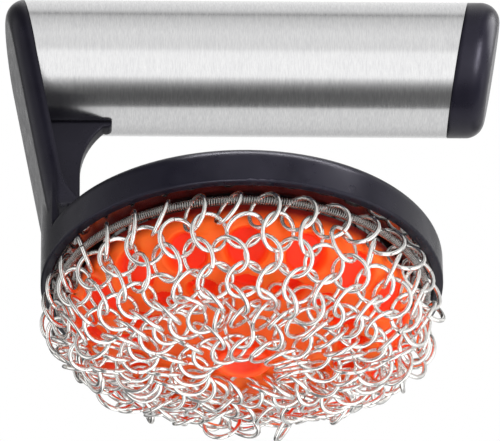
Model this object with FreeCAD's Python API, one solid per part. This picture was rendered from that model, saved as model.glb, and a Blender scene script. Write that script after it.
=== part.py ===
import FreeCAD, Part
import math
import os

V = FreeCAD.Vector
os.makedirs("parts", exist_ok=True)

# Driving sizes in millimetres. X runs along the handle, Z is up, z = 0 is the floor under the rings.
head_r = 41.1          # outside radius of the round head
head_h = 8.3           # height of the head wall
head_wall = 2.2        # wall of the head moulding
head_edge = 2.5        # rounding of the upper edge
head_crown = 1.4       # rise of the head's top towards its middle

tube_od = 28.4         # handle tube
tube_wall = 0.8
tube_rise = 53.9       # tube axis above the head's lower edge
left_past = 2.0        # left seam past the head's wall, at the tube axis
right_past = 4.5       # right seam past the head's wall, at the tube axis
lean = 10.1            # slant of both seams and of the arm, degrees
arm_t = 4.2            # arm thickness along the handle
cap_t = 7.3            # cap thickness along the handle
end_round = 4.0        # big rounding on the arm and on the cap
spigot_len = 15.0      # spigots inside the tube
spigot_wall = 2.2
web_t = 3.0            # thin web under the tube: thickness, length along the tube, waist
web_reach = 16.4
web_waist = 6.5
flare_r = 15.0         # inside corner between arm and head
side_r = 5.0           # side corners between arm and head

mail_in = 3.4          # the mail at its widest, inside the head's wall
mail_fall = 8.0        # the face of the mail falls to its middle by this angle
ring_share = 0.2255    # ring size over the mail's radius, and wire over ring size
wire_share = 0.106
bend_share = 0.2918    # over the mail's radius: bend of its shoulder, and depths of the first row
top_share = 0.1114     # and of the widest place below the head's lower edge
mid_share = 0.1326
full_rows = 6          # rows with the whole number of rings
half_rows = 2          # rows with half as many, next to the middle hole

spring_od = 1.8        # garter spring that carries the first row
spring_wire = 0.4
spring_turns = 96
spring_room = 0.6      # between the spring and the top of the rings it carries

fit = 0.15             # clearance between pieces that are pushed together
seam = 0.1             # visible seam at both ends of the tube
play = 0.4             # clearance between the mail and what it turns on

tilt_wide = 31.7       # ring tilt in degrees: where the rings have room, more for each unit they are crowded,
tilt_crowd = 48.8      # and in the two kinds of halved rows
tilt_half = 43.1
tilt_last = 31.2
crowded = 0.676        # ring pitch over ring size below which a row counts as crowded
pitch_share = 0.83     # ring pitch over ring size at the widest row
step_bend = 0.5213     # row steps over ring size: on the bend, on the face, where the count halves, last
step_face = 0.5742
step_half = 0.6738
step_last = 0.6308
lead_share = 0.0828    # side shift that evens out the links on the bend

mail_r = head_r - mail_in
ring_od = ring_share * mail_r
ring_wire = wire_share * ring_od
mail_bend = bend_share * mail_r
mail_top = top_share * mail_r
mail_mid = mid_share * mail_r
tube_left = head_r + left_past
tube_right = head_r + right_past
far = 2 * (tube_left + tube_right)    # longer than anything, for cutting
slant = math.tan(math.radians(lean))
tube_r = tube_od / 2
bore_r = tube_r - tube_wall
ring_r = (ring_od - ring_wire) / 2

# Chain mail: every ring hangs in four others. A row is a circle of rings round the head axis,
# and neighbouring rows lean to opposite sides. Depth is counted down from the head's lower edge.
half_count = int(math.pi * mail_r / (pitch_share * ring_od) + 0.5)
bend_start = math.asin((mail_mid - mail_top) / mail_bend)
face_lie = math.radians(mail_fall - 90)
bend_length = mail_bend * (bend_start - face_lie)


def mail_place(run):
    """Radius, depth and lie of the mail's middle surface, a distance down from the first row."""
    lie = max(face_lie, bend_start - run / mail_bend)
    rest = max(0.0, run - bend_length)
    radius = mail_r - mail_bend + mail_bend * math.cos(lie) + rest * math.sin(lie)
    return radius, mail_mid - mail_bend * math.sin(lie) + rest * math.cos(lie), lie


def mail_rows():
    rows = []
    run = 0.0
    turn = 0.0
    for index in range(full_rows + half_rows):
        halved = index >= full_rows
        count = half_count if halved else 2 * half_count
        radius, depth, lie = mail_place(run)
        pitch = 2 * math.pi * radius / count
        tilt = tilt_wide + tilt_crowd * max(0.0, crowded - pitch / ring_od)
        if halved:
            tilt = tilt_last if index == full_rows + half_rows - 1 else tilt_half
        side = 1 if index % 2 == 0 else -1
        step = step_bend * ring_od
        bent = (mail_place(max(0.0, run - step))[2] - mail_place(run + step)[2]) * mail_bend / (2 * step)
        shift = -lead_share * ring_od * bent / radius if side < 0 else 0.0
        rows.append({"radius": radius, "depth": depth, "lie": lie, "count": count,
                     "tilt": math.radians(side * tilt), "turn": turn + shift})
        turn += math.pi / count
        if index == full_rows - 1:
            step = step_half * ring_od
        elif halved:
            step = step_last * ring_od
        elif run + step > bend_length + ring_wire / 3:
            step = step_face * ring_od
        run += step
    return rows


def ring_frame(row, number):
    """Middle of one ring and the two directions that span its plane, with depth as minus z."""
    angle = row["turn"] + 2 * math.pi * number / row["count"]
    out = V(math.cos(angle), math.sin(angle), 0)
    along = V(-math.sin(angle), math.cos(angle), 0)
    down = V(0, 0, -1)
    run_dir = out * math.sin(row["lie"]) + down * math.cos(row["lie"])
    skin_dir = out * math.cos(row["lie"]) - down * math.sin(row["lie"])
    lean_dir = along * math.cos(row["tilt"]) + skin_dir * math.sin(row["tilt"])
    return out * row["radius"] + down * row["depth"], lean_dir, run_dir


rows = mail_rows()
half_thick = max(ring_r * math.sin(abs(row["tilt"])) + ring_wire / 2 for row in rows)
rim_z = max(row["depth"] + ring_r * math.hypot(math.sin(row["tilt"]) * math.sin(row["lie"]), math.cos(row["lie"]))
            for row in rows) + ring_wire / 2
tube_z = rim_z + tube_rise


def ring_points(row, number, steps):
    middle, across, run_dir = ring_frame(row, number)
    points = []
    for step in range(steps):
        angle = 2 * math.pi * step / steps
        points.append(middle + (across * math.cos(angle) + run_dir * math.sin(angle)) * ring_r)
    return points


def least_ring_gap(steps=72):
    """Least gap between the rings, on points: ring 0 of each row against all rings near it."""
    least = ring_od
    for index, row in enumerate(rows):
        here = ring_points(row, 0, steps)
        middle = ring_frame(row, 0)[0]
        for other in range(index, min(index + 3, len(rows))):
            for number in range(rows[other]["count"]):
                if other == index and number == 0:
                    continue
                if ring_frame(rows[other], number)[0].distanceToPoint(middle) > ring_od + 1:
                    continue
                for there in ring_points(rows[other], number, steps):
                    for point in here:
                        least = min(least, point.distanceToPoint(there) - ring_wire)
    return least


def lathe(start, *steps):
    """Solid of revolution round the head axis. A step is an (r, z) point, or two of them for an arc."""
    edges = []
    here = V(start[0], 0, start[1])
    for step in steps + (start,):
        bent = isinstance(step[0], tuple)
        end = V(step[1][0], 0, step[1][1]) if bent else V(step[0], 0, step[1])
        if bent:
            edges.append(Part.Arc(here, V(step[0][0], 0, step[0][1]), end).toShape())
        elif here.distanceToPoint(end) > 1e-6:
            edges.append(Part.makeLine(here, end))
        here = end
    return Part.Face(Part.Wire(edges)).revolve(V(0, 0, 0), V(0, 0, 1), 360)


def slab(points, half_width):
    """Straight solid across the handle from (x, z) points."""
    corners = [V(x, -half_width, z) for x, z in points]
    return Part.Face(Part.makePolygon(corners + corners[:1])).extrude(V(0, 2 * half_width, 0))


def rod(radius, x0, x1):
    """Round bar on the tube axis."""
    return Part.makeCylinder(radius, x1 - x0, V(x0, 0, tube_z), V(1, 0, 0))


def between(left, right):
    """Everything between two slanted planes, given where they cross the tube axis."""
    high = tube_od
    low = -rim_z - tube_rise
    return slab([(left - high * slant, tube_z + high), (left - low * slant, tube_z + low),
                 (right + low * slant, tube_z + low), (right + high * slant, tube_z + high)], far)


def leaning(left, right):
    """Everything between two parallel planes that lean like the arm."""
    high = tube_od
    low = -rim_z - tube_rise
    return slab([(left - high * slant, tube_z + high), (left - low * slant, tube_z + low),
                 (right - low * slant, tube_z + low), (right - high * slant, tube_z + high)], far)


def round_edges(solid, radius, wanted):
    return solid.makeFillet(radius, [edge for edge in solid.Edges if wanted(edge)])


def on_plane(edge, x_at_axis, sign):
    """True for an edge that lies in a slanted plane: x = x_at_axis + sign * slant * height."""
    for step in range(5):
        first, last = edge.ParameterRange
        point = edge.valueAt(first + (last - first) * step / 4)
        if abs(point.x - x_at_axis - sign * slant * (point.z - tube_z)) > 1e-4:
            return False
    return True


def spigot(x0, x1):
    """Hollow plug in the tube with six crush ribs."""
    body = rod(bore_r - 2 * fit, x0, x1)
    for number in range(6):
        rib = Part.makeBox(x1 - x0, 1.2, 1.5, V(x0, -0.6, tube_z + bore_r - 1.5 - fit / 2))
        rib.rotate(V(0, 0, tube_z), V(1, 0, 0), 30 + 60 * number)
        body = body.fuse(rib)
    return body.common(rod(bore_r - fit / 2, x0, x1)).cut(rod(bore_r - 2 * fit - spigot_wall, x0 - 1, x1 + 1))


# Head frame: one black moulding. The round shell, the leaning arm, the web and the spigot are one piece.
shell_top = rim_z + head_h
ledge_z = rim_z + 3.0
inner_r = head_r - head_wall
roof = shell_top - 2.6
lip = 0.5
diag = math.sqrt(0.5)
flat_r = head_r * 0.4
shell = lathe((0, shell_top + head_crown), (0, roof + head_crown), (flat_r, roof + head_crown),
              (inner_r - 2, roof), (inner_r - 2, ledge_z), (inner_r, ledge_z), (inner_r, rim_z + lip),
              ((inner_r + lip - lip * diag, rim_z + lip - lip * diag), (inner_r + lip, rim_z)),
              (head_r - lip, rim_z),
              ((head_r - lip + lip * diag, rim_z + lip - lip * diag), (head_r, rim_z + lip)),
              (head_r, shell_top - head_edge),
              ((head_r - head_edge + head_edge * diag, shell_top - head_edge + head_edge * diag),
               (head_r - head_edge, shell_top)),
              (flat_r, shell_top + head_crown))
cavity = lathe((0, rim_z - 1), (inner_r, rim_z - 1), (inner_r, ledge_z), (inner_r - 2, ledge_z),
               (inner_r - 2, roof), (flat_r, roof + head_crown), (0, roof + head_crown))

arm_low = rim_z + 4.0
bar = rod(tube_r, -far, 0)
bar = bar.fuse(Part.makeBox(far, tube_od, tube_z - arm_low, V(-far, -tube_r, arm_low))).removeSplitter()
arm = bar.common(leaning(-tube_left - arm_t, -tube_left - seam))
arm = round_edges(arm, end_round, lambda e: on_plane(e, -tube_left - arm_t, -1) and e.BoundBox.ZMax > arm_low + 1)


def arm_inside(z):
    """X of the arm's inner face at a height."""
    return -tube_left - seam - slant * (z - tube_z)


# The arm's foot: outside it runs down into the round wall, inside it flares into the head's top.
foot_top = tube_z - (tube_left + arm_t - head_r) / slant + 1.5
foot = Part.makeCylinder(head_r, foot_top - arm_low, V(0, 0, arm_low))
foot = foot.common(leaning(-tube_left - arm_t - 4, -tube_left - 1)).common(
    Part.makeBox(far, tube_od - 1, far, V(-far, -tube_r + 0.5, 0)))

half_corner = math.radians(90 + lean) / 2
reach = flare_r / math.tan(half_corner)
corner = V(arm_inside(shell_top), 0, shell_top)
up_arm = V(-math.sin(math.radians(lean)), 0, math.cos(math.radians(lean)))
high_end = corner + up_arm * reach
low_end = corner + V(reach, 0, 0)
to_centre = (up_arm + V(1, 0, 0)).normalize()
hollow = corner + to_centre * (flare_r / math.sin(half_corner) - flare_r)
sink = V(0, 0, shell_top - 2)
flare_outline = Part.Wire([Part.Arc(high_end, hollow, low_end).toShape(),
                           Part.makeLine(low_end, V(low_end.x, 0, sink.z)),
                           Part.makeLine(V(low_end.x, 0, sink.z), V(corner.x - 2, 0, sink.z)),
                           Part.makeLine(V(corner.x - 2, 0, sink.z), V(high_end.x - 2, 0, high_end.z)),
                           Part.makeLine(V(high_end.x - 2, 0, high_end.z), high_end)])
flare = Part.Face(flare_outline).extrude(V(0, 2 * far, 0))
flare.translate(V(0, -far, 0))
wide = tube_r + side_r
side_z = shell_top + side_r
side_mid = side_r * (1 - diag)
front = [V(-far, -tube_r, high_end.z + 1), V(-far, tube_r, high_end.z + 1), V(-far, tube_r, side_z),
         V(-far, wide, shell_top), V(-far, wide, sink.z), V(-far, -wide, sink.z), V(-far, -wide, shell_top),
         V(-far, -tube_r, side_z)]
front_outline = [Part.makeLine(front[k], front[(k + 1) % 8]) for k in (0, 1, 3, 4, 5, 7)]
front_outline.insert(2, Part.Arc(front[2], V(-far, tube_r + side_mid, shell_top + side_mid), front[3]).toShape())
front_outline.insert(6, Part.Arc(front[6], V(-far, -tube_r - side_mid, shell_top + side_mid), front[7]).toShape())
flare = flare.common(Part.Face(Part.Wire(front_outline)).extrude(V(far, 0, 0)))
flare = flare.common(Part.makeCylinder(head_r - 0.6, far, V(0, 0, rim_z)))

gap_h = tube_rise - tube_r - head_h
tip = V(-tube_left + web_reach, 0, tube_z - tube_r)
nib_low = tip + V(-0.1 * web_reach, 0, -0.04 * gap_h)
nib_high = tip + V(-0.3, 0, 0.6)
waist = tip + V(-web_waist, 0, -0.44 * gap_h)
web_edge = Part.Arc(nib_low, tip + V(-0.8 * web_waist, 0, -0.203 * gap_h), waist).toShape()
nib = Part.Arc(nib_low, tip + V(0, 0, -0.02 * gap_h), nib_high).toShape()
web_back = V(arm_inside(tube_z - tube_r) - 2, 0, nib_high.z)
web_heel = V(arm_inside(shell_top) - 2, 0, shell_top - 1)
web_toe = V(waist.x, 0, shell_top - 1)
web_outline = Part.Wire([nib, Part.makeLine(nib_high, web_back), Part.makeLine(web_back, web_heel),
                         Part.makeLine(web_heel, web_toe), Part.makeLine(web_toe, waist), web_edge])
web = Part.Face(web_outline).extrude(V(0, web_t, 0))
web.translate(V(0, -web_t / 2, 0))
web = web.cut(rod(tube_r + seam, -far, far))

left_spigot = spigot(-tube_left - arm_t, -tube_left + spigot_len)
left_spigot = left_spigot.common(leaning(-tube_left - arm_t + 1.5, far))

head_frame = shell
for piece in (arm, foot, flare, web):
    head_frame = head_frame.fuse(piece.cut(cavity))
boss_r = 0.5 * mail_r
boss_count = 4
screw_r = 1.5
boss_spots = [V(boss_r * math.cos(math.radians(45 + 360 / boss_count * k)),
                boss_r * math.sin(math.radians(45 + 360 / boss_count * k)), 0) for k in range(boss_count)]
for spot in boss_spots:
    head_frame = head_frame.fuse(Part.makeCylinder(3.6, shell_top - 1 - ledge_z, spot + V(0, 0, ledge_z)))
for spot in boss_spots:
    head_frame = head_frame.cut(Part.makeCylinder(screw_r + fit, 5.2, spot + V(0, 0, ledge_z)))
head_frame = head_frame.fuse(left_spigot).removeSplitter()
head_frame.exportStep("parts/head_frame.step")

# Handle tube: thin stainless tube, both ends cut at the same slant.
tube = rod(tube_r, -far, far).cut(rod(bore_r, -2 * far, 2 * far)).common(between(-tube_left, tube_right))
tube.exportStep("parts/handle_tube.step")

# End cap: flush with the tube, rounded end, plug with crush ribs.
cap = rod(tube_r, tube_right - tube_od, far).common(between(-far, tube_right + cap_t))
cap = cap.cut(between(-far, tube_right + seam))
cap = round_edges(cap, end_round, lambda e: on_plane(e, tube_right + cap_t, 1))
plug = spigot(tube_right - spigot_len, tube_right + cap_t).common(between(-far, tube_right + cap_t - 2.5))
cap = cap.fuse(plug).removeSplitter()
cap.exportStep("parts/end_cap.step")

# Retainer plate: glossy disc in the head, with the spool for the spring and the flange for the core.
plate_low = rim_z + 0.6
spool_r = 0.864 * mail_r
spool_low = rim_z - 0.0785 * mail_r
neck_r = 0.707 * mail_r
flange_r = 0.785 * mail_r
flange_top = rim_z - 0.144 * mail_r
flange_low = rim_z - 0.196 * mail_r
hub_r = 0.641 * mail_r
plate = lathe((0, ledge_z), (inner_r - fit, ledge_z), (inner_r - fit, plate_low), (spool_r, plate_low),
              (spool_r, spool_low), (neck_r, spool_low), (neck_r, flange_top), (flange_r, flange_top),
              (flange_r, flange_low), (hub_r, flange_low), (hub_r, plate_low), (0, plate_low))
for spot in boss_spots:
    plate = plate.cut(Part.makeCylinder(screw_r + fit, 6, spot + V(0, 0, rim_z - 1)))
plate.exportStep("parts/retainer_plate.step")

# Plate screws: the same screw four times, hidden behind the core.
screws = []
for spot in boss_spots:
    shank = Part.makeCylinder(screw_r, ledge_z + 4.6 - plate_low, spot + V(0, 0, plate_low))
    head = Part.makeCylinder(2.8, 1.9, spot + V(0, 0, plate_low - 1.9))
    head = round_edges(head, 0.7, lambda e: abs(e.BoundBox.ZMax - plate_low + 1.9) < 1e-4)
    for turn in (0, 90):
        slot = Part.makeBox(3.2, 0.8, 1.0, spot + V(-1.6, -0.4, plate_low - 2.0))
        slot.rotate(spot, V(0, 0, 1), turn)
        head = head.cut(slot)
    screws.append(head.fuse(shank).removeSplitter())
Part.makeCompound(screws).exportStep("parts/plate_screws.step")

# Silicone core: a soft cup stretched over the flange, with round pockets and a dished boss.
core_in = half_thick + play
core_r = mail_r - core_in
core_round = mail_bend - core_in
core_top = spool_low - fit
arc_r = core_r - core_round
arc_z = rim_z - mail_mid
boss_out = rows[-1]["radius"] - ring_od / 2 - 1.0
boss_h = 0.053 * mail_r
dish_r = 0.64 * boss_out


def core_at(lie, inward=0.0):
    """Point (r, z) of the core's outside: on the shoulder by its lie, then down the face to its middle."""
    return (arc_r + core_round * math.cos(lie) + inward * math.sin(lie),
            arc_z + core_round * math.sin(lie) - inward * math.cos(lie))


face_top = core_at(face_lie)
boss_run = (face_top[0] - boss_out) / -math.sin(face_lie)
boss_foot = core_at(face_lie, boss_run)
boss_low = boss_foot[1] - boss_h
core = lathe((spool_r - 0.3, core_top), (core_r, arc_z), (core_at(face_lie / 2), face_top), boss_foot,
             (boss_out, boss_low), (dish_r, boss_low),
             ((0.9 * dish_r, boss_low + 1.1), (0.67 * dish_r, boss_low + 1.6)), (0, boss_low + 1.6),
             (0, flange_low - fit), (flange_r + fit, flange_low - fit), (flange_r + fit, flange_top + fit),
             (neck_r + fit, flange_top + fit), (neck_r + fit, core_top))
pocket_count = 16
pocket_d = 0.228 * mail_r
pocket_deep = 0.08 * mail_r
pocket_lie = math.radians(-48)
for number in range(pocket_count):
    angle = math.radians(360 / pocket_count * number)
    out = V(math.cos(angle), math.sin(angle), 0)
    down = V(0, 0, -1)
    for lie, run, wide_r in ((pocket_lie, 0.0, pocket_d / 2), (face_lie, 0.17 * mail_r, pocket_d / 2.7)):
        radius, height = core_at(lie, run)
        axis = out * math.cos(lie) + down * -math.sin(lie)
        floor_spot = out * radius + V(0, 0, height) - axis * pocket_deep
        core = core.cut(Part.makeCylinder(wide_r, pocket_d, floor_spot, axis))
core.exportStep("parts/silicone_core.step")

# Garter spring: one unbroken wound tube through every ring of the first row.
first_row = rows[0]
drop = ring_r - ring_wire / 2 - spring_od / 2 - spring_room
spring_r = first_row["radius"] - drop * math.sin(first_row["lie"])
spring_z = rim_z - first_row["depth"] + drop * math.cos(first_row["lie"])
coil_r = (spring_od - spring_wire) / 2


def spring_at(part):
    """Point and direction on the wound line, part running from 0 to 1 round the head."""
    angle = 2 * math.pi * part
    wind = 2 * math.pi * spring_turns * part
    out = V(math.cos(angle), math.sin(angle), 0)
    along = V(-math.sin(angle), math.cos(angle), 0)
    up = V(0, 0, 1)
    radius = spring_r + coil_r * math.cos(wind)
    point = out * radius + up * (spring_z + coil_r * math.sin(wind))
    way = along * radius + (up * math.cos(wind) - out * math.sin(wind)) * (coil_r * spring_turns)
    return point, way.normalize()


def arc_from(start, way, end):
    """Arc from a point, setting off in a given direction, to another point."""
    chord = end - start
    half = chord.Length / 2
    swing = math.acos(max(-1.0, min(1.0, chord.dot(way) / chord.Length)))
    side = (way * (1 / math.cos(swing)) - chord * (1 / chord.Length)).normalize()
    return Part.Arc(start, start + chord * 0.5 + side * (half * math.tan(swing / 2)), end).toShape()


def biarc(start, way, end, end_way):
    gap = end - start
    both = way + end_way
    quad = 2 * (way.dot(end_way) - 1)
    lin = -2 * gap.dot(both)
    const = gap.dot(gap)
    reach = (-lin - math.sqrt(lin * lin - 4 * quad * const)) / (2 * quad)
    if reach < 0:
        reach = (-lin + math.sqrt(lin * lin - 4 * quad * const)) / (2 * quad)
    middle = (start + way * reach + end - end_way * reach) * 0.5
    turn_way = (end - end_way * reach - start - way * reach).normalize()
    return [arc_from(start, way, middle), arc_from(middle, turn_way, end)]


quarters = 4 * spring_turns - 3
stops = [spring_at(k / (4 * spring_turns)) for k in range(quarters + 1)]
tail = stops[0][0] - stops[0][1] * spring_wire
path = [Part.makeLine(tail, stops[0][0])]
for here, there in zip(stops, stops[1:]):
    path += biarc(here[0], here[1], there[0], there[1])
path.append(Part.makeLine(stops[-1][0], stops[-1][0] + stops[-1][1] * spring_wire))
section = Part.Wire([Part.makeCircle(spring_wire / 2, tail, stops[0][1])])
spring = Part.Wire(path).makePipeShell([section], True, False)
spring.exportStep("parts/garter_spring.step")

coil = [spring_at(k / (24 * spring_turns))[0] for k in range(24 * 4)]
spring_gap = min(a.distanceToPoint(b) for i, a in enumerate(coil) for b in coil[i + 14:]) - spring_wire
print("least gap of the spring to itself %.2f mm" % spring_gap)

# Chain mail rows, from the spring to the middle hole.
for index, row in enumerate(rows):
    links = []
    for number in range(row["count"]):
        middle, across, run_dir = ring_frame(row, number)
        links.append(Part.makeTorus(ring_r, ring_wire / 2, middle + V(0, 0, rim_z), across.cross(run_dir)))
    Part.makeCompound(links).exportStep("parts/mail_row_%02d.step" % (index + 1))
print("least gap between rings %.2f mm, head edge at %.2f mm" % (least_ring_gap(), rim_z))
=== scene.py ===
import math
import bmesh
import bpy
import numpy as np
from mathutils import Matrix, Vector


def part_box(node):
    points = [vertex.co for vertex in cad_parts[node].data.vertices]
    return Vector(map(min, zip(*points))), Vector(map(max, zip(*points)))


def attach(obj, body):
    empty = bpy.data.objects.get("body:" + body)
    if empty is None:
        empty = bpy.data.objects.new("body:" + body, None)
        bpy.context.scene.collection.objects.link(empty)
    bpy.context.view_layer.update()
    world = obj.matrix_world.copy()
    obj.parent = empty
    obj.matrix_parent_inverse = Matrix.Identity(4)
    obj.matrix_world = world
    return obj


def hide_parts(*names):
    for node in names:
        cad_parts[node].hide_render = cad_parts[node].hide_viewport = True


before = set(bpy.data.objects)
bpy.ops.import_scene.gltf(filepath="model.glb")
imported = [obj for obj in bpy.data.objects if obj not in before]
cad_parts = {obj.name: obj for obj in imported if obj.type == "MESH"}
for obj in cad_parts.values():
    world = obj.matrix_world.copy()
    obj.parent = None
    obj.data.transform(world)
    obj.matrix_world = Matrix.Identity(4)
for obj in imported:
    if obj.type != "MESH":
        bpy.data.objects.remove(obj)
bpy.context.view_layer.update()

# Head frame: the round head, the leaning arm, the web and the spigot, one injection moulding
# in charcoal plastic with a fine spark-eroded skin. Its shape comes from the part itself.
rim_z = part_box("head_frame")[0][2]
charcoal = (0.0044, 0.0040, 0.0078, 1)
charcoal_worn = (0.0074, 0.0068, 0.0118, 1)
lip_edge, moulded_edge = 0.0004, 0.0014
lip_end, wall_start = rim_z + 0.0008, rim_z + 0.0040
plastic_grain = 0.000005


def add_node(tree, kind, inputs=None, **settings):
    """New node with its settings, its inputs given by name or number as a value or a socket to link."""
    node = tree.nodes.new(kind)
    for key, value in settings.items():
        setattr(node, key, value)
    for key, value in (inputs or {}).items():
        if isinstance(value, bpy.types.NodeSocket):
            tree.links.new(value, node.inputs[key])
        else:
            node.inputs[key].default_value = value
    return node


def new_finish(name, **constants):
    """Material with one shader, its constant sockets set, and the object's own coordinates."""
    finish = bpy.data.materials.new(name)
    finish.use_nodes = True
    tree = finish.node_tree
    shader = tree.nodes["Principled BSDF"]
    for key, value in constants.items():
        shader.inputs[key.replace("_", " ")].default_value = value
    place = add_node(tree, "ShaderNodeTexCoord").outputs["Object"]
    return finish, tree, shader, place


def drive(tree, shader, **sockets):
    """Link each named input of a shader to the socket that gives it its value."""
    for key, socket in sockets.items():
        tree.links.new(socket, shader.inputs[key.replace("_", " ")])


def spread(tree, value, low, high, to_low=0.0, to_high=1.0):
    """A value's place between two limits, laid out between two others."""
    limits = {"Value": value, "From Min": low, "From Max": high, "To Min": to_low, "To Max": to_high}
    return add_node(tree, "ShaderNodeMapRange", limits).outputs["Result"]


def blotches(tree, place, scale, low, high, detail=3.0):
    """Noise at a scale per metre, spread over a range of values."""
    noise = add_node(tree, "ShaderNodeTexNoise", {"Vector": place, "Scale": scale, "Detail": detail})
    return spread(tree, noise.outputs["Fac"], 0.3, 0.7, low, high)


def two_tones(tree, amount, first, second):
    mix = add_node(tree, "ShaderNodeMix", {"Factor": amount, "A": first, "B": second}, data_type="RGBA")
    return mix.outputs["Result"]


def fine_skin(tree, height, depth, under=None):
    """Fine relief of a depth in metres, laid over another normal where one is given."""
    bump = add_node(tree, "ShaderNodeBump", {"Height": height, "Distance": depth})
    if under:
        tree.links.new(under, bump.inputs["Normal"])
    return bump.outputs["Normal"]


def black_plastic():
    finish, tree, shader, place = new_finish("black_plastic", Specular_IOR_Level=0.26,
                                             Specular_Tint=(0.86, 0.83, 1.0, 1))
    height = add_node(tree, "ShaderNodeSeparateXYZ", {0: place}).outputs["Z"]
    width = spread(tree, height, lip_end, wall_start, lip_edge, moulded_edge)
    edge = add_node(tree, "ShaderNodeBevel", {"Radius": width}, samples=8).outputs["Normal"]
    drive(tree, shader,
          Base_Color=two_tones(tree, blotches(tree, place, 140, 0, 1), charcoal, charcoal_worn),
          Roughness=blotches(tree, place, 420, 0.26, 0.33, 5),
          Normal=fine_skin(tree, blotches(tree, place, 7000, 0, 1, 2), plastic_grain, edge))
    return finish


def dress(node, finish):
    """The part's own solid keeps its mesh and takes the finish."""
    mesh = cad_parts[node].data
    mesh.materials.clear()
    mesh.materials.append(finish)


plastic = black_plastic()
dress("head_frame", plastic)

# Handle tube: thin stainless tube, slant cut at both ends, brushed round its girth,
# so the scratches are fine rings and the light runs along it in bands.
steel_light = (0.84, 0.84, 0.84, 1)
steel_dark = (0.68, 0.68, 0.69, 1)
scratch_stretch = 0.12
scratch_depth = 0.0000025


def maths(tree, operation, *values):
    """Result of one sum on values or sockets, in their order."""
    return add_node(tree, "ShaderNodeMath", dict(enumerate(values)), operation=operation).outputs[0]


def brushed_steel():
    finish, tree, shader, place = new_finish("brushed_steel", Metallic=1.0, Anisotropic=0.6,
                                             Anisotropic_Rotation=0.25)
    longer = (1.0, scratch_stretch, scratch_stretch)
    girth = add_node(tree, "ShaderNodeMapping", {"Vector": place, "Scale": longer}).outputs["Vector"]
    fine = blotches(tree, girth, 5200, 0, 1, 2)
    broad = blotches(tree, girth, 1300, 0, 1, 3)
    streak = spread(tree, maths(tree, "MULTIPLY_ADD", broad, 0.5, fine), 0, 1.5)
    around = add_node(tree, "ShaderNodeTangent", direction_type="RADIAL", axis="X").outputs["Tangent"]
    drive(tree, shader,
          Base_Color=two_tones(tree, streak, steel_dark, steel_light),
          Roughness=spread(tree, streak, 0, 1, 0.21, 0.26),
          Normal=fine_skin(tree, streak, scratch_depth),
          Tangent=around)
    return finish


dress("handle_tube", brushed_steel())

# End cap: a plug in the same charcoal plastic, pushed into the free end of the tube and held
# by its fit. Its shape comes from the part itself.
dress("end_cap", plastic)

# Retainer plate: polished black disc that closes the head and carries the core,
# glossy enough to mirror the rings, with fine wipe marks.
plate_tones = (0.006, 0.005, 0.006, 1), (0.012, 0.010, 0.011, 1)
wipe_marks = 350, 2, 0.00001


def mottled(name, tones, tone_scale, gloss, gloss_scale, gloss_detail=3.0, skin=None, **constants):
    """Material that drifts between two tones and two roughnesses, with a skin (scale, detail, depth)."""
    finish, tree, shader, place = new_finish(name, **constants)
    drive(tree, shader,
          Base_Color=two_tones(tree, blotches(tree, place, tone_scale, 0, 1), *tones),
          Roughness=blotches(tree, place, gloss_scale, *gloss, gloss_detail))
    if skin:
        scale, detail, depth = skin
        drive(tree, shader, Normal=fine_skin(tree, blotches(tree, place, scale, 0, 1, detail), depth))
    return finish


dress("retainer_plate", mottled("gloss_black", plate_tones, 90, (0.03, 0.08), 260, 4, wipe_marks, IOR=3.6))

# Plate screws: plain zinc-bright steel screws that hold the plate to the head.
# They go through the plate and are hidden behind the core.
screw_tones = (0.42, 0.42, 0.44, 1), (0.60, 0.60, 0.62, 1)
dress("plate_screws", mottled("screw_steel", screw_tones, 900, (0.25, 0.40), 1500, Metallic=1.0))

# Silicone core: soft orange cup moulded in one piece and stretched over the plate's flange,
# with round pockets on its shoulder and face, and a dished boss in the middle.
mail_r = 0.0377
bend = 0.2918 * mail_r
widest_depth = 0.1326 * mail_r
face_lie = math.radians(8 - 90)
core_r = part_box("silicone_core")[1][0]
core_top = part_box("silicone_core")[1][2]
core_round = bend - (mail_r - core_r)
arc_r = core_r - core_round
arc_z = rim_z - widest_depth
spool_r = 0.864 * mail_r
lip_in, lip_out, lip_top = spool_r + 0.00015, spool_r + 0.0011, rim_z - 0.0010
mouth_r, mouth_low = 0.0269, core_top - 0.0022
groove_r, groove_top, groove_low = 0.0299, core_top - 0.0024, core_top - 0.0046
boss_out = 0.0058
boss_low = rim_z - 0.0180
boss_edge = 0.0008
root_wide, root_high = 0.0008, 0.0006
dish_r = 0.0039
dish_deep = 0.0014
pocket_count = 16
pocket_r = 0.114 * mail_r
pocket_deep = 0.08 * mail_r
pocket_lie = math.radians(-46)
face_pocket_run = 0.14 * mail_r
face_pocket_r = 0.74 * pocket_r
pocket_edge, pocket_slope = 1.12, 0.30
pocket_top = rim_z - 0.0045
core_steps = 400
orange, orange_pale = (1.0, 0.112, 0.010, 1), (1.0, 0.156, 0.013, 1)
# painted shade: a darker red for the shade inside the round pockets
pocket_painted_shade = (1.0, 0.036, 0.006, 1)
boss_red, boss_fade = (0.92, 0.066, 0.005, 1), (0.000049, 0.000036)
# painted shade: a darker red inside the dish
dish_painted_shade, dish_fade = (0.62, 0.030, 0.003, 1), (0.000018, 0.000013)
# painted shade: dark red on the lip over the plate, for the shade under the head
lip_painted_shade, lip_fade = (0.26, 0.010, 0.006, 1), (rim_z - 0.0052, rim_z - 0.0022)


def core_at(lie, inward=0.0):
    """Point (radius, height) of the core's outside: on the shoulder by its lie, then down the face."""
    return (arc_r + core_round * math.cos(lie) + inward * math.sin(lie),
            arc_z + core_round * math.sin(lie) - inward * math.cos(lie))


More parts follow.
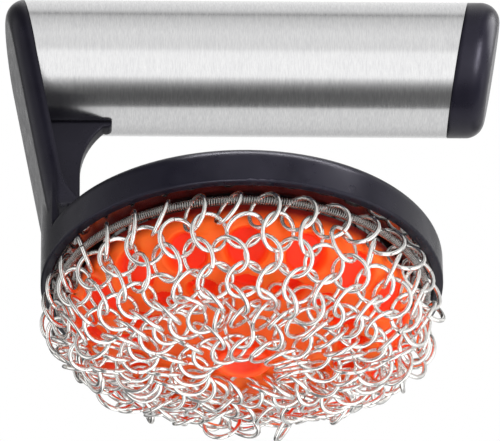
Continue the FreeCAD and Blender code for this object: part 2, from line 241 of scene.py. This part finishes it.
def core_outline():
    """The core's section as (radius, height), from the middle of the dish out, up and back inside."""
    face_run = (core_at(face_lie)[0] - boss_out - root_wide) / -math.sin(face_lie)
    face_low = core_at(face_lie, face_run)[1]
    root_low = face_low - root_high
    line = [(0.0, boss_low + dish_deep)]
    line += [(dish_r * part, boss_low + dish_deep * (1 - part ** 6)) for part in np.linspace(0.2, 1.0, 9)]
    line += [(boss_out - boss_edge + boss_edge * math.sin(a), boss_low + boss_edge - boss_edge * math.cos(a))
             for a in np.linspace(0, math.pi / 2, 6)]
    line += [(boss_out, z) for z in np.linspace(boss_low + boss_edge, root_low, 4)[1:]]
    line += [(boss_out + root_wide - root_wide * math.cos(a), root_low + root_high * math.sin(a))
             for a in np.linspace(0, math.pi / 2, 4)[1:]]
    line += [core_at(face_lie, run) for run in np.linspace(face_run, 0, 44)[1:]]
    line += [core_at(lie) for lie in np.linspace(face_lie, 0, 34)[1:]]
    line += [(core_r + (lip_out - core_r) * part ** 2, arc_z + (lip_top - arc_z) * part)
             for part in np.linspace(0, 1, 14)[1:]]
    line += [(lip_in, lip_top), (lip_in, core_top)]
    line += [(mouth_r, core_top), (mouth_r, mouth_low), (groove_r, groove_top), (groove_r, groove_low)]
    line += [(0.0, groove_low)]
    return line


def pocket_sink(part):
    """Depth share across a pocket, part running from its middle to past its rounded lip."""
    share = np.clip((pocket_edge - part) / pocket_slope, 0, 1)
    return share ** 2 * (3 - 2 * share)


def core_points(line):
    """The outline turned round the axis with the pockets pressed in, and how far each point sank."""
    points = []
    for radius, height in line[1:-1]:
        for step in range(core_steps):
            angle = 2 * math.pi * step / core_steps
            points.append((radius * math.cos(angle), radius * math.sin(angle), height))
    points = np.array(points)
    sunk = np.zeros(len(points))
    up = np.array((0, 0, 1.0))
    for number in range(pocket_count):
        angle = 2 * math.pi / pocket_count * number
        out = np.array((math.cos(angle), math.sin(angle), 0))
        for lie, run, radius in ((pocket_lie, 0.0, pocket_r), (face_lie, face_pocket_run, face_pocket_r)):
            reach, height = core_at(lie, run)
            axis = out * math.cos(lie) + up * math.sin(lie)
            away = points - out * reach - up * height
            rise = away @ axis
            off = np.sqrt(np.maximum((away * away).sum(1) - rise * rise, 0))
            near = (off < 1.15 * radius) & (rise > -pocket_deep) & (points[:, 2] < pocket_top)
            share = pocket_sink(off[near] / radius)
            points[near] += np.outer(share * (-pocket_deep - rise[near]), axis)
            sunk[near] = np.maximum(sunk[near], share)
    return points, sunk


def core_mesh():
    line = core_outline()
    points, sunk = core_points(line)
    rings = len(line) - 2
    first_pole, last_pole = len(points), len(points) + 1
    last_ring = (rings - 1) * core_steps
    faces = []
    for step in range(core_steps):
        after = (step + 1) % core_steps
        for low in range(0, last_ring, core_steps):
            high = low + core_steps
            faces.append((low + step, low + after, high + after, high + step))
        faces.append((first_pole, after, step))
        faces.append((last_pole, last_ring + step, last_ring + after))
    mesh = bpy.data.meshes.new("orange_core")
    corners = [tuple(p) for p in points] + [(0, 0, line[0][1]), (0, 0, line[-1][1])]
    mesh.from_pydata(corners, [], faces)
    depths = np.concatenate((sunk, (0, 0)))
    mesh.attributes.new("pocket_depth", "FLOAT", "POINT").data.foreach_set("value", depths)
    work = bmesh.new()
    work.from_mesh(mesh)
    bmesh.ops.recalc_face_normals(work, faces=work.faces)
    work.to_mesh(mesh)
    work.free()
    mesh.shade_smooth()
    return mesh


def orange_silicone():
    """Orange, redder on the boss, with painted shade: redder in the pockets and the dish, and dark on the
    lip over the plate.
    """
    finish, tree, shader, place = new_finish("orange_silicone", Subsurface_Weight=0.35,
                                             Subsurface_Scale=0.0025, Subsurface_Radius=(1.0, 0.28, 0.08),
                                             Specular_IOR_Level=0.2)
    tone = two_tones(tree, blotches(tree, place, 120, 0, 1), orange, orange_pale)
    depth = add_node(tree, "ShaderNodeAttribute", attribute_name="pocket_depth").outputs["Fac"]
    # painted shade: redder the deeper a point sits in a pocket
    tone = two_tones(tree, depth, tone, pocket_painted_shade)
    spot = add_node(tree, "ShaderNodeSeparateXYZ", {0: place}).outputs
    out_squared = maths(tree, "MULTIPLY", spot["Y"], spot["Y"])
    out_squared = maths(tree, "MULTIPLY_ADD", spot["X"], spot["X"], out_squared)
    # painted shade in the dish and on the lip; the boss is only coloured redder
    for value, fade, red in ((out_squared, boss_fade, boss_red), (out_squared, dish_fade, dish_painted_shade),
                             (spot["Z"], lip_fade, lip_painted_shade)):
        tone = two_tones(tree, spread(tree, value, *fade), tone, red)
    drive(tree, shader, Base_Color=tone, Roughness=blotches(tree, place, 600, 0.38, 0.52, 4),
          Normal=fine_skin(tree, blotches(tree, place, 2600, 0, 1, 3), 0.00001))
    return finish


def new_piece(name, mesh, finish, body, slot, *nodes):
    """Object at the origin that stands for solids of the part and rides on their body."""
    mesh.materials.clear()
    mesh.materials.append(finish)
    piece = bpy.data.objects.new(name, mesh)
    bpy.context.scene.collection.objects.link(piece)
    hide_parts(*nodes)
    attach(piece, body)


new_piece("orange_core", core_mesh(), orange_silicone(), "frame", "orange_silicone", "silicone_core")

# Garter spring: fine stainless wire wound close into one long coil, its ends hooked into a circle
# that carries the first row of rings above the core.
ring_od = 0.2255 * mail_r
ring_wire = 0.106 * ring_od
ring_r = (ring_od - ring_wire) / 2
first_depth = 0.1114 * mail_r
bend_start = math.asin((widest_depth - first_depth) / bend)
spring_od = 0.0018
spring_wire_r = 0.00012
spring_turns = 480
spring_slack = 0.0006
spring_drop = ring_r - ring_wire / 2 - spring_od / 2 - spring_slack
spring_r = mail_r - bend + bend * math.cos(bend_start) - spring_drop * math.sin(bend_start)
spring_z = rim_z - first_depth + spring_drop * math.cos(bend_start)
# painted shade: the spring's steel tones are darkened for the shade it lies in under the rim; they vary at
# random between the two
spring_tones_with_painted_shade = (0.36, 0.35, 0.34, 1), (0.58, 0.57, 0.55, 1)


def new_tree(name, sizes):
    """Geometry tree with named number inputs and a material input."""
    tree = bpy.data.node_groups.new(name, "GeometryNodeTree")
    tree.interface.new_socket("Geometry", in_out="INPUT", socket_type="NodeSocketGeometry")
    for size, kind in sizes.items():
        tree.interface.new_socket(size, in_out="INPUT", socket_type=kind)
    tree.interface.new_socket("Finish", in_out="INPUT", socket_type="NodeSocketMaterial")
    tree.interface.new_socket("Geometry", in_out="OUTPUT", socket_type="NodeSocketGeometry")
    return tree, tree.nodes.new("NodeGroupInput").outputs, tree.nodes.new("NodeGroupOutput").inputs


def end_tree(tree, geometry, given, made):
    """Close a tree: what it made becomes a real mesh in its finish."""
    real = add_node(tree, "GeometryNodeRealizeInstances", {"Geometry": geometry}).outputs[0]
    dressed = add_node(tree, "GeometryNodeSetMaterial", {"Geometry": real, "Material": given["Finish"]})
    tree.links.new(dressed.outputs[0], made["Geometry"])


def wire_along(tree, curve, sides, radius, capped):
    """Smooth wire with a many-sided section, drawn along a curve."""
    section = add_node(tree, "GeometryNodeCurvePrimitiveCircle", {"Resolution": sides, "Radius": radius})
    wire = add_node(tree, "GeometryNodeCurveToMesh", {"Curve": curve, "Fill Caps": capped,
                                                      "Profile Curve": section.outputs["Curve"]})
    return add_node(tree, "GeometryNodeSetShadeSmooth", {"Geometry": wire.outputs["Mesh"]}).outputs[0]


def made_by(tree, base, values):
    """The plain mesh that a tree makes from a base mesh, with the tree's inputs set first."""
    maker = bpy.data.objects.new(base.name, base)
    bpy.context.scene.collection.objects.link(maker)
    modifier = maker.modifiers.new("make", "NODES")
    modifier.node_group = tree
    for socket in tree.interface.items_tree:
        if socket.in_out == "INPUT" and socket.name in values:
            modifier[socket.identifier] = values[socket.name]
    ready = maker.evaluated_get(bpy.context.evaluated_depsgraph_get())
    mesh = bpy.data.meshes.new_from_object(ready)
    maker.modifiers.remove(modifier)
    bpy.data.objects.remove(maker)
    return mesh


def spring_tree():
    tree, given, made = new_tree("wound_spring", {"Turns": "NodeSocketInt", "Hoop": "NodeSocketFloat",
                                                  "Height": "NodeSocketFloat", "Coil": "NodeSocketFloat",
                                                  "Wire": "NodeSocketFloat"})
    stops = maths(tree, "MULTIPLY", given["Turns"], 10.0)
    hoop = add_node(tree, "GeometryNodeCurvePrimitiveCircle", {"Resolution": stops, "Radius": 1.0})
    number = add_node(tree, "GeometryNodeInputIndex").outputs[0]
    angle = maths(tree, "MULTIPLY", maths(tree, "DIVIDE", number, stops), 2 * math.pi)
    wind = maths(tree, "MULTIPLY", angle, given["Turns"])

    def times(function, angle, size):
        return maths(tree, "MULTIPLY", maths(tree, function, angle), size)

    radius = maths(tree, "ADD", given["Hoop"], times("COSINE", wind, given["Coil"]))
    height = maths(tree, "ADD", given["Height"], times("SINE", wind, given["Coil"]))
    point = add_node(tree, "ShaderNodeCombineXYZ", {"X": times("COSINE", angle, radius),
                                                    "Y": times("SINE", angle, radius), "Z": height})
    wound = add_node(tree, "GeometryNodeSetPosition", {"Geometry": hoop.outputs["Curve"],
                                                       "Position": point.outputs[0]})
    end_tree(tree, wire_along(tree, wound.outputs[0], 6, given["Wire"], False), given, made)
    return tree


# spring steel in its darkened tones, painted shade
spring_finish = mottled("spring_steel", spring_tones_with_painted_shade, 700, (0.18, 0.32), 1500, Metallic=1.0)
spring_mesh = made_by(spring_tree(), bpy.data.meshes.new("spring_base"), {
    "Turns": spring_turns, "Hoop": spring_r, "Height": spring_z, "Coil": spring_od / 2 - spring_wire_r,
    "Wire": spring_wire_r, "Finish": spring_finish})
new_piece("close_wound_spring", spring_mesh, spring_finish, "mail", "spring_steel", "garter_spring")

# Chain mail: eight rows of stainless rings, bent from round wire with the ends butted, every ring
# hung in four others. The first row hangs on the spring, the last leaves a hole round the boss.
half_count = 17
full_rows = 6
half_rows = 2
all_rows = full_rows + half_rows
bend_length = bend * (bend_start - face_lie)
bend_step, face_step = 0.5213 * ring_od, 0.5742 * ring_od
halving_step, half_step = 0.6738 * ring_od, 0.6308 * ring_od
full_tilt, half_tilt, last_tilt = 31.7, 43.1, 31.2
loose_pitch, crowd_tilt = 0.676, 48.8
side_shift = -0.0828 * ring_od
drawn_wire = 1.08 * ring_wire
butt_gap = 0.05
ring_steps = 40
ring_air, spring_air, core_air = 0.00008, 0.00004, 0.00006
lip_start = 0.0389 - 0.6 * ring_wire
recess_top, lip_low, hang_low = 0.0005, -0.00015, 0.0010
shake, twist = 0.0002, 0.25
front_way, back_way = np.array((0, 0.707, -0.707)), np.array((0, -1.0, 1.0))
draw, hold, last_ease = 0.00012, 0.06, 0.083
pair_reach = ring_od + 0.001
most_turn = 0.15
hair = 1e-12
# painted reflection: the steel tones are tinted warm for the orange core the rings mirror; they vary at
# random between the two
ring_tones_with_painted_reflection = (0.83, 0.815, 0.79, 1), (0.95, 0.935, 0.91, 1)
draw_marks = 3000, 3.0, 0.000008


def mail_place(run):
    """Radius, depth and lie of the mail's middle surface, a distance down from the first row."""
    lie = max(face_lie, bend_start - run / bend)
    rest = max(0.0, run - bend_length)
    return (mail_r - bend + bend * math.cos(lie) + rest * math.sin(lie),
            widest_depth - bend * math.sin(lie) + rest * math.cos(lie), lie)


def even_rings():
    """Middle, normal and row of every ring, as the mail would hang if all its links were even."""
    middles, normals, rows = [], [], []
    run = 0.0
    turn = 0.0
    down = np.array((0, 0, -1.0))
    for row in range(all_rows):
        halved = row >= full_rows
        count = half_count if halved else 2 * half_count
        radius, depth, lie = mail_place(run)
        crowd = max(0.0, loose_pitch - 2 * math.pi * radius / count / ring_od)
        tilt = full_tilt + crowd_tilt * crowd
        if halved:
            tilt = last_tilt if row == all_rows - 1 else half_tilt
        side = 1 if row % 2 == 0 else -1
        tilt = math.radians(side * tilt)
        bent = mail_place(max(0.0, run - bend_step))[2] - mail_place(run + bend_step)[2]
        bent = bent * bend / (2 * bend_step)
        shift = side_shift * bent / radius if side < 0 else 0.0
        for angle in turn + shift + 2 * math.pi / count * np.arange(count):
            out = np.array((math.cos(angle), math.sin(angle), 0))
            along = np.array((-math.sin(angle), math.cos(angle), 0))
            skin_way = out * math.cos(lie) - down * math.sin(lie)
            middles.append(out * radius + down * depth)
            normals.append(skin_way * math.cos(tilt) - along * math.sin(tilt))
            rows.append(row)
        turn += math.pi / count
        step = bend_step
        if row == full_rows - 1:
            step = halving_step
        elif halved:
            step = half_step
        elif run + step > bend_length + ring_wire / 3:
            step = face_step
        run += step
    return np.array(middles), np.array(normals), np.array(rows)


def shaken_rings(chance):
    """Even rings, their shaken middles and normals, their rows, and the way each is drawn:
    down in front and tight behind."""
    even, normals, rows = even_rings()
    behind = np.clip((even[:, 1] + 0.010) / 0.040, 0, 1)[:, None]
    middles = even + chance.normal(0, shake, even.shape) * (1 + behind)
    normals = normals + chance.normal(0, twist, even.shape) * (1 + 0.5 * behind)
    along = np.stack((-even[:, 1], even[:, 0], 0 * even[:, 0]), axis=1)
    along *= np.sign((along * normals).sum(1))[:, None] / np.linalg.norm(along, axis=1)[:, None]
    normals = np.where((rows == 0)[:, None], 0.6 * normals + 0.4 * along, normals)
    normals /= np.linalg.norm(normals, axis=1)[:, None]
    part = np.clip(even[:, 1] / 0.020, 0, 1)[:, None]
    part = part * part * (3 - 2 * part)
    pull = front_way * (1 - part) + back_way * part
    pull *= np.where(rows < 3, 0.3, 1.0)[:, None] * (1 - 0.6 * part * np.clip(even[:, :1] / 0.03, 0, 1))
    return even, middles, normals, rows, pull


def ring_points(middles, normals):
    """Points round the middle line of every ring."""
    helper = np.where(np.abs(normals[:, 2:]) < 0.9, ((0, 0, 1.0),), ((1.0, 0, 0),))
    first = np.cross(normals, helper)
    first /= np.linalg.norm(first, axis=1)[:, None]
    second = np.cross(normals, first)
    angle = (np.arange(ring_steps) * 2 * math.pi / ring_steps)[None, :, None]
    return middles[:, None] + ring_r * (np.cos(angle) * first[:, None] + np.sin(angle) * second[:, None])


def to_circle(points, middles, normals, radius):
    """Nearest places on circles, one circle for each set of points, and the distances to them."""
    away = points - middles[:, None]
    rise = (away * normals[:, None]).sum(2)
    flat = away - rise[..., None] * normals[:, None]
    reach = np.linalg.norm(flat, axis=2) + hair
    spots = middles[:, None] + flat * (radius / reach)[..., None]
    return spots, np.hypot(rise, reach - radius)


def off_core(points):
    """Distance of points from the core's outside, without its pockets, and the way straight off it."""
    reach = np.hypot(points[..., 0], points[..., 1]) + hair
    over = reach - arc_r
    below = -points[..., 2] - widest_depth
    round_gap = np.hypot(over, below) + hair
    face_gap = (over * math.cos(face_lie) - below * math.sin(face_lie)) - core_round
    on_bend = np.arctan2(-below, over) >= face_lie
    gap = np.where(below < 0, over - core_round, np.where(on_bend, round_gap - core_round, face_gap))
    out = np.where(below < 0, 1.0, np.where(on_bend, over / round_gap, math.cos(face_lie)))
    down = np.where(below < 0, 0.0, np.where(on_bend, below / round_gap, -math.sin(face_lie)))
    way = np.stack((out * points[..., 0] / reach, out * points[..., 1] / reach, -down), axis=-1)
    return gap, way


def settled_rings(steps=250, last_steps=110, seed=5):
    """Shaken rings, drawn to where they hang and pushed apart until none overlap, measured from the rim."""
    even, middles, normals, rows, pull = shaken_rings(np.random.default_rng(seed))
    count = len(even)
    each = np.arange(count)
    stiff = 0.5 * ring_r * ring_r
    clear = drawn_wire + ring_air
    hung = np.where(rows == 0)[0]
    hoops = np.tile(((0, 0, spring_z - rim_z),), (len(hung), 1))
    upright = np.tile(((0, 0, 1.0),), (len(hung), 1))

    def push(ring, spot, way, depth, other=None, other_spot=None):
        """Shift and turn rings so that a spot on each goes a depth along its way."""
        arm = np.cross(spot - middles[ring], way)
        share = 1 + (arm * arm).sum(1) / stiff
        sides = [(ring, arm, 1)]
        if other is not None:
            other_arm = np.cross(other_spot - middles[other], way)
            share = share + 1 + (other_arm * other_arm).sum(1) / stiff
            sides.append((other, other_arm, -1))
        amount = (depth / share)[:, None]
        for index, lever, sign in sides:
            np.add.at(moves[0], index, sign * amount * way)
            np.add.at(moves[1], index, sign * amount * lever / stiff)
            np.add.at(moves[2], index, 1.0)

    for step in range(steps + last_steps):
        if step < steps:
            ease = last_ease ** (step / steps)
            middles = middles + (pull * draw - (middles - even) * hold) * ease
        if step % 5 == 0:
            apart = np.linalg.norm(middles[:, None] - middles[None], axis=2)
            one, two = np.where(np.triu(apart < pair_reach, 1))
            pair = np.arange(len(one))
        for repeat in range(4):
            moves = np.zeros((3, count, 3))
            points = ring_points(middles, normals)

            # ring against ring, at the two nearest places of each pair
            spots, gaps = to_circle(points[one], middles[two], normals[two], ring_r)
            for contact in range(2):
                place = gaps.argmin(1)
                close = np.where(gaps[pair, place] < clear)[0]
                spot = points[one[close], place[close]]
                other_spot = spots[close, place[close]]
                way = spot - other_spot
                length = np.linalg.norm(way, axis=1) + hair
                push(one[close], spot, way / length[:, None], clear - length, two[close], other_spot)
                for beside in range(-4, 5):
                    gaps[pair, (place + beside) % ring_steps] = 1.0

            # first row against the spring
            spots, gaps = to_circle(points[hung], hoops, upright, spring_r)
            place = gaps.argmin(1)
            near = spring_od / 2 + ring_wire / 2 + spring_air
            close = np.where(gaps[np.arange(len(hung)), place] < near)[0]
            way = points[hung[close], place[close]] - spots[close, place[close]]
            length = np.linalg.norm(way, axis=1) + hair
            push(hung[close], points[hung[close], place[close]], way / length[:, None], near - length)

            # every ring against the core
            gaps, ways = off_core(points)
            place = gaps.argmin(1)
            near = ring_wire / 2 + core_air
            close = np.where(gaps[each, place] < near)[0]
            push(close, points[close, place[close]], ways[close, place[close]],
                 near - gaps[close, place[close]])

            # every ring against the boss, by its side or its front
            reach = np.hypot(points[..., 0], points[..., 1])
            side = boss_out + near - reach
            front = points[..., 2] - (boss_low - rim_z) + near
            inside = np.minimum(side, front)
            place = inside.argmax(1)
            close = np.where(inside[each, place] > 0)[0]
            spot = points[close, place[close]]
            outward = spot * (1, 1, 0) / (reach[close, place[close]] + hair)[:, None]
            by_side = (side < front)[close, place[close]][:, None]
            push(close, spot, np.where(by_side, outward, (0, 0, -1.0)), inside[close, place[close]])

            # every ring under the plate and the head's lip, and above the lowest place it may hang to
            ceiling = np.where(reach > lip_start, lip_low, recess_top)
            for top, limit in ((1, ceiling), (-1, rim_z + hang_low)):
                past = top * points[..., 2] + ring_wire / 2 - limit
                place = past.argmax(1)
                past = past[each, place]
                close = np.where(past > 0)[0]
                back = np.tile(((0, 0, -1.0 * top),), (len(close), 1))
                push(close, points[close, place[close]], back, past[close])

            ease_off = 1 / np.maximum(1, moves[2] / 2)
            middles = middles + moves[0] * ease_off
            turn = moves[1] * ease_off
            size = np.linalg.norm(turn, axis=1)[:, None] + hair
            normals = normals + np.cross(turn * np.minimum(1, most_turn / size), normals)
            normals /= np.linalg.norm(normals, axis=1)[:, None]
    return middles, normals


def mail_tree():
    tree, given, made = new_tree("linked_rings", {"Ring": "NodeSocketFloat", "Wire": "NodeSocketFloat",
                                                  "Butt": "NodeSocketFloat"})
    sweep = maths(tree, "SUBTRACT", 2 * math.pi, given["Butt"])
    bow = add_node(tree, "GeometryNodeCurveArc", {"Resolution": 25, "Radius": given["Ring"],
                                                  "Sweep Angle": sweep})
    ring = wire_along(tree, bow.outputs["Curve"], 8, given["Wire"], True)
    turn = add_node(tree, "GeometryNodeInputNamedAttribute", {"Name": "ring_turn"}, data_type="FLOAT_VECTOR")
    spun = add_node(tree, "FunctionNodeEulerToRotation", {"Euler": turn.outputs["Attribute"]}).outputs[0]
    hung = add_node(tree, "GeometryNodeInstanceOnPoints", {"Points": given["Geometry"], "Rotation": spun,
                                                           "Instance": ring})
    end_tree(tree, hung.outputs[0], given, made)
    return tree


def hung_rings():
    """A point for every ring, with the turn that lays the ring in its plane and its butt anywhere."""
    chance = np.random.default_rng(11)
    middles, normals = settled_rings()
    base = bpy.data.meshes.new("ring_middles")
    base.from_pydata([(x, y, z + rim_z) for x, y, z in middles], [], [])
    turns = base.attributes.new("ring_turn", "FLOAT_VECTOR", "POINT")
    for number, normal in enumerate(normals):
        spin = Matrix.Rotation(chance.uniform(0, 2 * math.pi), 3, "Z")
        laid = Vector(normal).to_track_quat("Z", "Y").to_matrix() @ spin
        turns.data[number].vector = laid.to_euler("XYZ")
    return base


# ring steel in warm tinted tones, a painted reflection of the core
mail_finish = mottled("ring_steel", ring_tones_with_painted_reflection, 500, (0.07, 0.16), 1800, skin=draw_marks, Metallic=1.0)
mail_mesh = made_by(mail_tree(), hung_rings(), {"Ring": ring_r, "Wire": drawn_wire / 2, "Butt": butt_gap,
                                                "Finish": mail_finish})
new_piece("chain_mail", mail_mesh, mail_finish, "mail", "ring_steel",
          *["mail_row_%02d" % (number + 1) for number in range(all_rows)])

# Stage: a pale floor under the rings that shows from above only, because the photograph looks up at
# the face, a white studio with bands of light, a shaded card that only mirror rays see, small panels
# for the lines along the black edges, and the camera of the photograph.
floor_half = 8.0
floor_low = min(corner.co.z for corner in mail_mesh.vertices) - 0.0001
card_left, card_right, card_front, card_back = -0.044, 0.110, -0.040, 0.036
card_height = rim_z + 0.0125
brightest = 2.0
mirror_light, extra_diffuse_light = 2.0, 3.1
bands_by_degree = [
    (-180, 0.60), (-168, 0.62), (-153, 0.72), (-140, 0.78), (-125, 1.60), (-60, 1.60), (-45, 1.20),
    (-4, 1.20), (1, 0.92), (30, 0.95), (63, 0.70), (71, 0.52), (73.4, 0.14), (76, 0.55), (85, 0.80),
    (100, 0.86), (118, 0.92), (150, 1.00), (180, 0.60)]
sides_by_x = [
    (-1, 1.6), (-0.76, 1.6), (-0.68, 0.3), (-0.42, 0.3), (-0.30, 0.9), (-0.14, 2.0), (0.34, 2.0),
    (0.38, 0.4), (0.48, 0.4), (0.52, 2.0), (1, 2.0)]
card_by_y = [
    (-0.040, 1.0), (-0.034, 0.66), (-0.0284, 0.34), (-0.024, 0.20), (-0.019, 0.12), (-0.014, 0.10),
    (-0.008, 0.11), (-0.003, 0.14), (0.0005, 0.17), (0.0010, 0.76), (0.012, 0.78), (0.036, 0.76)]
edge_panels = (
    ("rim_panel", "head_frame", (0.018, -0.050, rim_z + 0.036), (0.018, -0.0395, rim_z + 0.0115),
     0.08, 0.006, 0.030),
    ("lip_panel", "head_frame", (0, -0.10, rim_z - 0.12), (0, -0.04, rim_z), 0.10, 0.03, 0.11),
    ("cap_panel", "end_cap", (0.164, -0.220, rim_z + 0.007), (0.049, 0, rim_z + 0.054), 0.04, 0.20, 0.65),
    ("cap_side_panel", "end_cap", (0.295, 0.02, rim_z + 0.210), (0.046, 0, rim_z + 0.054), 0.2, 0.2, 0.5))


def levels(tree, value, steps, full=1.0):
    """Grey that follows a value through steps of (value, light), a full light being white."""
    low, high = steps[0][0], steps[-1][0]
    ramp = add_node(tree, "ShaderNodeValToRGB", {0: spread(tree, value, low, high)})
    stops = ramp.color_ramp.elements
    while len(stops) < len(steps):
        stops.new(0.5)
    for stop, (place, light) in zip(stops, steps):
        stop.position = (place - low) / (high - low)
        stop.color = (light / full, light / full, light / full, 1)
    return ramp.outputs["Color"]


def level_card(finish, shade, left, right, front, back, height, *unseen_by):
    """Level card that shows from above only, and not to the named kinds of ray."""
    tree = finish.node_tree
    under = add_node(tree, "ShaderNodeNewGeometry").outputs["Backfacing"]
    clear = add_node(tree, "ShaderNodeBsdfTransparent").outputs[0]
    both = add_node(tree, "ShaderNodeMixShader", {0: under, 1: shade, 2: clear})
    tree.links.new(both.outputs[0], tree.nodes["Material Output"].inputs["Surface"])
    mesh = bpy.data.meshes.new(finish.name)
    mesh.from_pydata([(left, front, height), (right, front, height), (right, back, height),
                      (left, back, height)], [], [(0, 1, 2, 3)])
    mesh.materials.append(finish)
    card = bpy.data.objects.new(finish.name, mesh)
    bpy.context.scene.collection.objects.link(card)
    for ray in unseen_by:
        setattr(card, "visible_" + ray, False)


def pale_floor():
    finish, _, shader, _ = new_finish("pale_floor", Base_Color=(0.82, 0.82, 0.81, 1), Roughness=0.7)
    level_card(finish, shader.outputs[0], -floor_half, floor_half, -floor_half, floor_half, floor_low,
               "diffuse", "glossy", "shadow", "transmission")


def shaded_card():
    """A card between head and handle that only mirror rays see, from above: dark in front, pale behind."""
    finish, tree, shader, place = new_finish("shaded_card")
    tree.nodes.remove(shader)
    depth = add_node(tree, "ShaderNodeSeparateXYZ", {0: place}).outputs["Y"]
    glow = add_node(tree, "ShaderNodeEmission", {"Color": levels(tree, depth, card_by_y)}).outputs[0]
    level_card(finish, glow, card_left, card_right, card_front, card_back, card_height,
               "camera", "diffuse", "shadow", "transmission")


def studio():
    """Light round the object by the angle over the front horizon, -90 straight below and 180 behind,
    with dark strips to the left and right. Diffuse rays get more of it than mirror rays."""
    world = bpy.data.worlds.new("studio")
    world.use_nodes = True
    bpy.context.scene.world = world
    tree = world.node_tree
    tree.nodes.clear()
    way = add_node(tree, "ShaderNodeTexCoord").outputs["Generated"]
    parts = add_node(tree, "ShaderNodeSeparateXYZ", {0: way}).outputs
    front = maths(tree, "MULTIPLY", parts["Y"], -1.0)
    degrees = maths(tree, "MULTIPLY", maths(tree, "ARCTAN2", parts["Z"], front), 180 / math.pi)
    bands = levels(tree, degrees, bands_by_degree, brightest)
    sides = levels(tree, parts["X"], sides_by_x, brightest)
    light = add_node(tree, "ShaderNodeMix", {"Factor": 1.0, "A": bands, "B": sides},
                     data_type="RGBA", blend_type="MULTIPLY").outputs["Result"]
    path = add_node(tree, "ShaderNodeLightPath").outputs
    strength = maths(tree, "MULTIPLY_ADD", path["Is Diffuse Ray"], extra_diffuse_light, mirror_light)
    lit = add_node(tree, "ShaderNodeBackground", {"Color": light, "Strength": strength}).outputs[0]
    white = add_node(tree, "ShaderNodeBackground", {"Color": (1, 1, 1, 1), "Strength": 1.0}).outputs[0]
    both = add_node(tree, "ShaderNodeMixShader", {0: path["Is Camera Ray"], 1: lit, 2: white})
    add_node(tree, "ShaderNodeOutputWorld", {"Surface": both.outputs[0]})
    bpy.context.scene.view_settings.view_transform = "Standard"


def edge_light(name, node, spot, aim, width, height, power):
    """A soft panel that lights one charcoal piece alone, for the bright line along its rounded edge."""
    panel = bpy.data.lights.new(name, "AREA")
    panel.shape = "RECTANGLE"
    panel.size, panel.size_y, panel.energy = width, height, power
    lamp = bpy.data.objects.new(name, panel)
    bpy.context.scene.collection.objects.link(lamp)
    lamp.location = spot
    lamp.rotation_euler = (Vector(aim) - Vector(spot)).to_track_quat("-Z", "Y").to_euler()
    lamp.visible_camera = False
    lit_piece = bpy.data.collections.new(name)
    lit_piece.objects.link(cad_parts[node])
    lamp.light_linking.receiver_collection = lit_piece


def photo_camera():
    """Lens from in front, a little to the left and below: 4.9 photograph pixels to a millimetre."""
    rise = math.radians(31.57)
    aside = math.radians(1.86)
    turn = math.radians(0.66)
    away = 1.176
    aim_right, aim_up = 0.001637, 0.013939
    sensor = 36.0
    seen_width = 0.5 / 4.9
    back = Vector((-math.sin(aside) * math.cos(rise), -math.cos(aside) * math.cos(rise), -math.sin(rise)))
    right = Vector((math.cos(aside), -math.sin(aside), 0))
    up = back.cross(right)
    tilted_right = right * math.cos(turn) - up * math.sin(turn)
    tilted_up = up * math.cos(turn) + right * math.sin(turn)
    rim_middle = Vector((0, 0, rim_z))
    aim = rim_middle + tilted_right * aim_right + tilted_up * aim_up
    spot = rim_middle + back * away
    facing = (spot - aim).normalized()
    level = (tilted_right - facing * tilted_right.dot(facing)).normalized()
    turned = Matrix((level, facing.cross(level), facing)).transposed().to_4x4()
    view = bpy.data.cameras.new("photo_camera")
    view.sensor_fit = "HORIZONTAL"
    view.sensor_width = sensor
    view.lens = sensor * away / seen_width
    view.clip_end = 50.0
    camera = bpy.data.objects.new("photo_camera", view)
    bpy.context.scene.collection.objects.link(camera)
    camera.matrix_world = Matrix.Translation(spot) @ turned
    bpy.context.scene.camera = camera


pale_floor()
studio()
shaded_card()
for panel in edge_panels:
    edge_light(*panel)
photo_camera()
